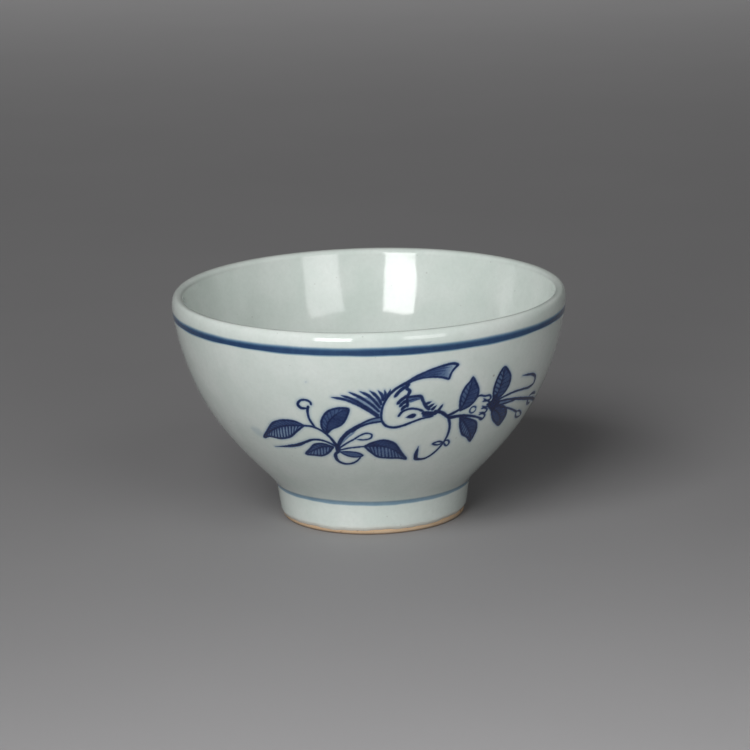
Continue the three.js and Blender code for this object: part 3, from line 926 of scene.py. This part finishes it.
def glazed(name):
    material = bpy.data.materials.new(name)
    material.use_nodes = True
    tree = material.node_tree
    surface = tree.nodes["Principled BSDF"]
    stored = {
        key: linked(tree, "ShaderNodeAttribute", {"attribute_name": key}).outputs["Fac"]
        for key in ("band", "painting", "thin")
    }
    skin = linked(tree, "ShaderNodeGroup", {"node_tree": glaze_skin}, Ripple=1.0)
    specks = linked(tree, "ShaderNodeGroup", {"node_tree": freckles}, Spacing=8.0, Size=0.3, Share=0.4)
    dust = linked(tree, "ShaderNodeGroup", {"node_tree": freckles}, Spacing=2.6, Size=0.2, Share=0.5)
    rust = linked(tree, "ShaderNodeGroup", {"node_tree": freckles}, Spacing=0.9, Size=0.22, Share=0.35)
    color = mixed(tree, skin.outputs["Cloud"], GLAZE_PALE, GLAZE_COOL)
    color = mixed(tree, maths(tree, "MULTIPLY", skin.outputs["Curdle"], 0.17), color, GLAZE_MILKY)
    color = mixed(tree, stored["thin"], color, GLAZE_THIN)
    color = mixed(tree, maths(tree, "MULTIPLY", specks.outputs[0], 0.6), color, SPECK_GREY)
    color = mixed(tree, maths(tree, "MULTIPLY", dust.outputs[0], 0.28), color, SPECK_GREY)
    rusty = maths(tree, "MULTIPLY", rust.outputs[0], spread(tree, stored["thin"], 0.35, 0.9, 0.0, 0.6))
    color = mixed(tree, rusty, color, RUST)
    for key, blue, swing in (("painting", PAINT_BLUE, 0.45), ("band", BAND_BLUE, 0.2)):
        amount = linked(tree, "ShaderNodeGroup", {"node_tree": brush_grain}, Amount=stored[key])
        amount.inputs["Unevenness"].default_value = swing
        laid = linked(tree, "ShaderNodeGroup", {"node_tree": pigment_under_glaze}, Glaze=color)
        laid.inputs["Pigment"].default_value = blue
        tree.links.new(amount.outputs[0], laid.inputs["Amount"])
        color = laid.outputs[0]
    tree.links.new(color, surface.inputs["Base Color"])
    tree.links.new(skin.outputs["Roughness"], surface.inputs["Roughness"])
    bump = linked(tree, "ShaderNodeBump", Height=skin.outputs["Height"], Strength=1.0, Distance=0.012 * MM)
    tree.links.new(bump.outputs[0], surface.inputs["Normal"])
    surface.inputs["IOR"].default_value = 1.58
    return material


pale_glaze = glazed("Pale celadon glaze")
rim_glaze = glazed("Rim blue under glaze")
foot_glaze = glazed("Foot blue under glaze")

# %% [markdown]
# ### The bare clay
# Where no glaze protects it, the clay takes up iron from the fire and toasts orange, most of all
# right beside the glaze. Below that it is buff, with dark grains and the grit of the potter's shelf.
# Towards the edge on which it stands, the clay is darkened with painted contact shadow.

# %% Clay finish
CLAY_BUFF = (0.62, 0.51, 0.37, 1)
CLAY_ORANGE = (0.60, 0.42, 0.26, 1)
CLAY_BROWN = (0.15, 0.085, 0.05, 1)
clay = bpy.data.materials.new("Toasted bare clay")
clay.use_nodes = True
tree = clay.node_tree
surface = tree.nodes["Principled BSDF"]
place = tree.nodes.new("ShaderNodeTexCoord").outputs["Object"]
toast = linked(tree, "ShaderNodeAttribute", {"attribute_name": "toast"}).outputs["Fac"]
mottle = noise(tree, place, 2.5, 4.0, 0.65)
grit = noise(tree, place, 0.25, 3.0, 0.6)
# the mask of painted contact shadow at the foot's resting edge
contact_shadow = linked(tree, "ShaderNodeAttribute", {"attribute_name": "contact_shadow"}).outputs["Fac"]
heat = spread(tree, maths(tree, "ADD", toast, mottle), 0.6, 1.3)
color = mixed(tree, heat, CLAY_BUFF, CLAY_ORANGE)
grains = linked(tree, "ShaderNodeGroup", {"node_tree": freckles}, Spacing=1.3, Size=0.3, Share=0.3)
color = mixed(tree, maths(tree, "MULTIPLY", grains.outputs[0], 0.9), color, CLAY_BROWN)
color = mixed(tree, spread(tree, grit, 0.55, 0.8, 0.0, 0.45), color, CLAY_BROWN)
# painted contact shadow: the clay turns dark brown towards the edge on which the cup stands
color = mixed(tree, maths(tree, "MULTIPLY", contact_shadow, 0.85), color, CLAY_BROWN)
tree.links.new(color, surface.inputs["Base Color"])
tree.links.new(spread(tree, grit, 0.3, 0.7, 0.7, 0.9), surface.inputs["Roughness"])
bump = linked(tree, "ShaderNodeBump", Height=grit, Strength=0.8, Distance=0.06 * MM)
tree.links.new(bump.outputs[0], surface.inputs["Normal"])

# %% Dress the pieces and tie them to the frame
pairs = [
    (bowl, "bowl", clay, "bare_clay"),
    (foot_ring, "foot_ring", clay, "bare_clay"),
    (skins["inside_and_lip"], "inner_glaze", pale_glaze, "pale_glaze"),
    (skins["rim_band"], "rim_line", rim_glaze, "rim_blue"),
    (skins["painted_wall"], "wall_glaze", pale_glaze, "pale_glaze"),
    (skins["foot_band"], "foot_line", foot_glaze, "foot_blue"),
    (skins["foot_coat"], "foot_glaze", pale_glaze, "pale_glaze"),
    (skins["base_coat"], "base_glaze", pale_glaze, "pale_glaze"),
]
for piece, node, material, slot in pairs:
    piece.data.materials.append(material)
    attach(piece, "root")
    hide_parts(node)
print("pieces:", ", ".join(piece.name for piece, *_ in pairs))

# %% [markdown]
# ## Table and light
# The cup stands on a plain pale grey table. Two soft boxes, the left one brighter, stand low at the
# front and show as two soft panes inside the far wall. Two higher ones at the front give much of the
# light and a weak one stands behind, and the glaze doesn't mirror these three. Two lights aimed
# straight down brighten the table behind the cup and in front of it. A dim room fills in the rest.

# %% Table
TABLE_HALF = 4.0
TABLE_GREY = (0.27, 0.266, 0.27, 1)
table_mesh = bpy.data.meshes.new("table_top")
corners = [(-TABLE_HALF, -TABLE_HALF, 0), (TABLE_HALF, -TABLE_HALF, 0), (TABLE_HALF, TABLE_HALF, 0),
           (-TABLE_HALF, TABLE_HALF, 0)]
table_mesh.from_pydata(corners, [], [(0, 1, 2, 3)])
table = bpy.data.objects.new("table_top", table_mesh)
bpy.context.scene.collection.objects.link(table)
paper = bpy.data.materials.new("Plain table paper")
paper.use_nodes = True
tree = paper.node_tree
place = tree.nodes.new("ShaderNodeTexCoord").outputs["Object"]
tone = mixed(tree, noise(tree, place, 60.0), TABLE_GREY, tuple(0.94 * v for v in TABLE_GREY[:3]) + (1,))
tree.links.new(tone, tree.nodes["Principled BSDF"].inputs["Base Color"])
tree.nodes["Principled BSDF"].inputs["Roughness"].default_value = 0.75
table_mesh.materials.append(paper)


# %% Lights
def soft_box(name, turn_degrees, lift_degrees, distance, size, watts):
    """A rectangular light aimed at the cup. turn is seen from above, from the front to the right."""
    light = bpy.data.lights.new(name, "AREA")
    light.shape = "RECTANGLE"
    light.size, light.size_y = size
    light.energy = watts
    lamp = bpy.data.objects.new(name, light)
    turn_angle, lift_angle = math.radians(turn_degrees), math.radians(lift_degrees)
    level = math.cos(lift_angle) * distance
    height = math.sin(lift_angle) * distance
    place = Vector((level * math.sin(turn_angle), -level * math.cos(turn_angle), height))
    lamp.location = place
    lamp.rotation_euler = place.to_track_quat("Z", "Y").to_euler()
    lamp.visible_camera = False
    bpy.context.scene.collection.objects.link(lamp)
    return lamp


BOX_DISTANCE = 1.3
LOW_LIFT = 17.2  # degrees
soft_box("left_box", -21, LOW_LIFT, BOX_DISTANCE, (0.46, 0.5), 6.0)
soft_box("right_box", 31, LOW_LIFT, BOX_DISTANCE, (0.55, 0.5), 2.5)
for name, turn_degrees, lift_degrees, watts in (
    ("high_left", -25, 42, 9.9), ("high_right", 30, 42, 1.7), ("high_back", 180, 50, 0.8),
):
    soft_box(name, turn_degrees, lift_degrees, BOX_DISTANCE, (0.7, 0.5), watts).visible_glossy = False
far_wash = soft_box("far_wash", 180, 90, 1.0, (1.2, 0.6), 6.0)
far_wash.location = (0, 1.5, 1.0)
far_wash.data.spread = math.radians(100)
near_wash = soft_box("near_wash", 0, 90, 0.6, (0.3, 0.16), 0.5)
near_wash.location = (0.03, -0.36, 0.6)
near_wash.data.spread = math.radians(60)
near_wash.visible_glossy = False
world = bpy.data.worlds.new("dim_room")
world.use_nodes = True
ROOM_GREY = (0.02, 0.02, 0.02, 1)
world.node_tree.nodes["Background"].inputs["Color"].default_value = ROOM_GREY
bpy.context.scene.world = world

# %% [markdown]
# ## Camera
# A long lens from a good arm's length, a little above the cup, and tilted a touch to one side.

# %% Camera
CAMERA_PLACE = Vector((0, -0.80246, 0.23377))
CAMERA_YAW = 0.00122
CAMERA_PITCH = math.radians(14.12)
CAMERA_ROLL = -0.0232
LENS_MM = 173.5
forward = Vector((
    math.sin(CAMERA_YAW) * math.cos(CAMERA_PITCH),
    math.cos(CAMERA_YAW) * math.cos(CAMERA_PITCH),
    -math.sin(CAMERA_PITCH),
))
level_right = forward.cross(Vector((0, 0, 1))).normalized()
level_up = level_right.cross(forward)
right = math.cos(CAMERA_ROLL) * level_right + math.sin(CAMERA_ROLL) * level_up
up = math.cos(CAMERA_ROLL) * level_up - math.sin(CAMERA_ROLL) * level_right
lens = bpy.data.cameras.new("camera")
lens.lens = LENS_MM
lens.clip_start = 0.05
camera = bpy.data.objects.new("camera", lens)
camera.matrix_world = Matrix.Translation(CAMERA_PLACE) @ Matrix((right, up, -forward)).transposed().to_4x4()
bpy.context.scene.collection.objects.link(camera)
bpy.context.scene.camera = camera
bpy.context.scene.view_settings.view_transform = "Standard"
